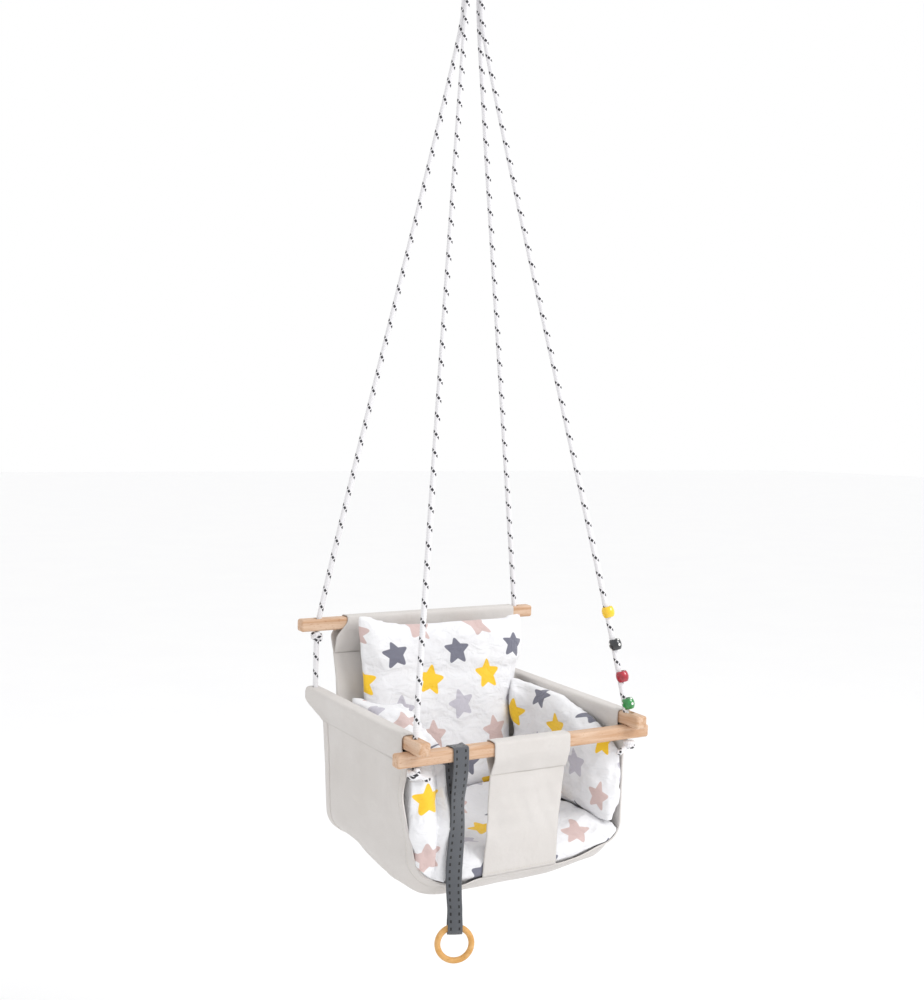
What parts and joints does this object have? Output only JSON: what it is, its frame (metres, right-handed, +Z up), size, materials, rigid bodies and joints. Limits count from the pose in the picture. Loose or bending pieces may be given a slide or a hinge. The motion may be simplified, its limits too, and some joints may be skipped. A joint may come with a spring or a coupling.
{
  "type": "baby swing",
  "caption": "Hanging toddler swing: a canvas bucket seat with star-print cushions on wooden bars, hung by braided ropes, with beads and a ribbon with a wooden ring.",
  "frame": {"origin": "the inside top of the steel hanging ring, where a hook carries it, with the whole swing below", "axes": "+Z up, +Y towards the back of the seat, +X to the right seen from the front; the seat tips forward two degrees as it hangs, with its weight below the ring"},
  "size_m": [0.402, 0.3464, 1.4207],
  "materials": {
    "bar_wood": "satin",
    "ring_wood": "satin",
    "steel": "polished",
    "rope": "matte",
    "canvas": "matte",
    "star_cotton": "matte",
    "ribbon": "matte",
    "green_paint": "gloss",
    "red_paint": "gloss",
    "black_paint": "gloss",
    "yellow_paint": "gloss"
  },
  "bodies": {
    "hanger": {"hanging_ring": "steel"},
    "swing": {"front_bar": "bar_wood", "back_bar": "bar_wood", "left_side_bar": "bar_wood", "left_rope": "rope", "left_loop_knot": "rope", "left_back_knot": "rope", "left_front_knot": "rope", "left_rope_end": "rope", "left_side_panel": "canvas", "left_side_cushion": "star_cotton", "right_side_bar": "bar_wood", "right_rope": "rope", "right_loop_knot": "rope", "right_back_knot": "rope", "right_front_knot": "rope", "right_rope_end": "rope", "right_side_panel": "canvas", "right_side_cushion": "star_cotton", "seat_panel": "canvas", "back_panel": "canvas", "crotch_strap": "canvas", "back_cushion": "star_cotton", "seat_cushion": "star_cotton"},
    "ribbon": {"ribbon_strap": "ribbon"},
    "teething_ring": {"wooden_ring": "ring_wood"},
    "green_bead_body": {"green_bead": "green_paint"},
    "red_bead_body": {"red_bead": "red_paint"},
    "black_bead_body": {"black_bead": "black_paint"},
    "yellow_bead_body": {"yellow_bead": "yellow_paint"}
  },
  "joints": [
    {"name": "swing_fore_aft", "type": "hinge", "parent": "hanger", "child": "swing", "pos_m": [0, 0, -0.038], "axis": [1, 0, 0], "range_deg": [-35, 35]},
    {"name": "ribbon_swing", "type": "hinge", "parent": "swing", "child": "ribbon", "pos_m": [-0.109, -0.16841, -1.13373], "axis": [1, 0, 0], "range_deg": [-70, 3]},
    {"name": "ring_tilt", "type": "hinge", "parent": "ribbon", "child": "teething_ring", "pos_m": [-0.109, -0.16841, -1.36373], "axis": [0.9135, -0.4067, 0], "range_deg": [-30, 30]},
    {"name": "green_bead_slide", "type": "slide", "parent": "swing", "child": "green_bead_body", "axis": [-0.162, 0.1743, 0.9713], "range_m": [-0.001, 0.008]},
    {"name": "red_bead_slide", "type": "slide", "parent": "swing", "child": "red_bead_body", "axis": [-0.162, 0.1743, 0.9713], "range_m": [-0.014, 0.014]},
    {"name": "black_bead_slide", "type": "slide", "parent": "swing", "child": "black_bead_body", "axis": [-0.162, 0.1743, 0.9713], "range_m": [-0.015, 0.015]},
    {"name": "yellow_bead_slide", "type": "slide", "parent": "swing", "child": "yellow_bead_body", "axis": [-0.162, 0.1743, 0.9713], "range_m": [-0.015, 0.3]}
  ]
}
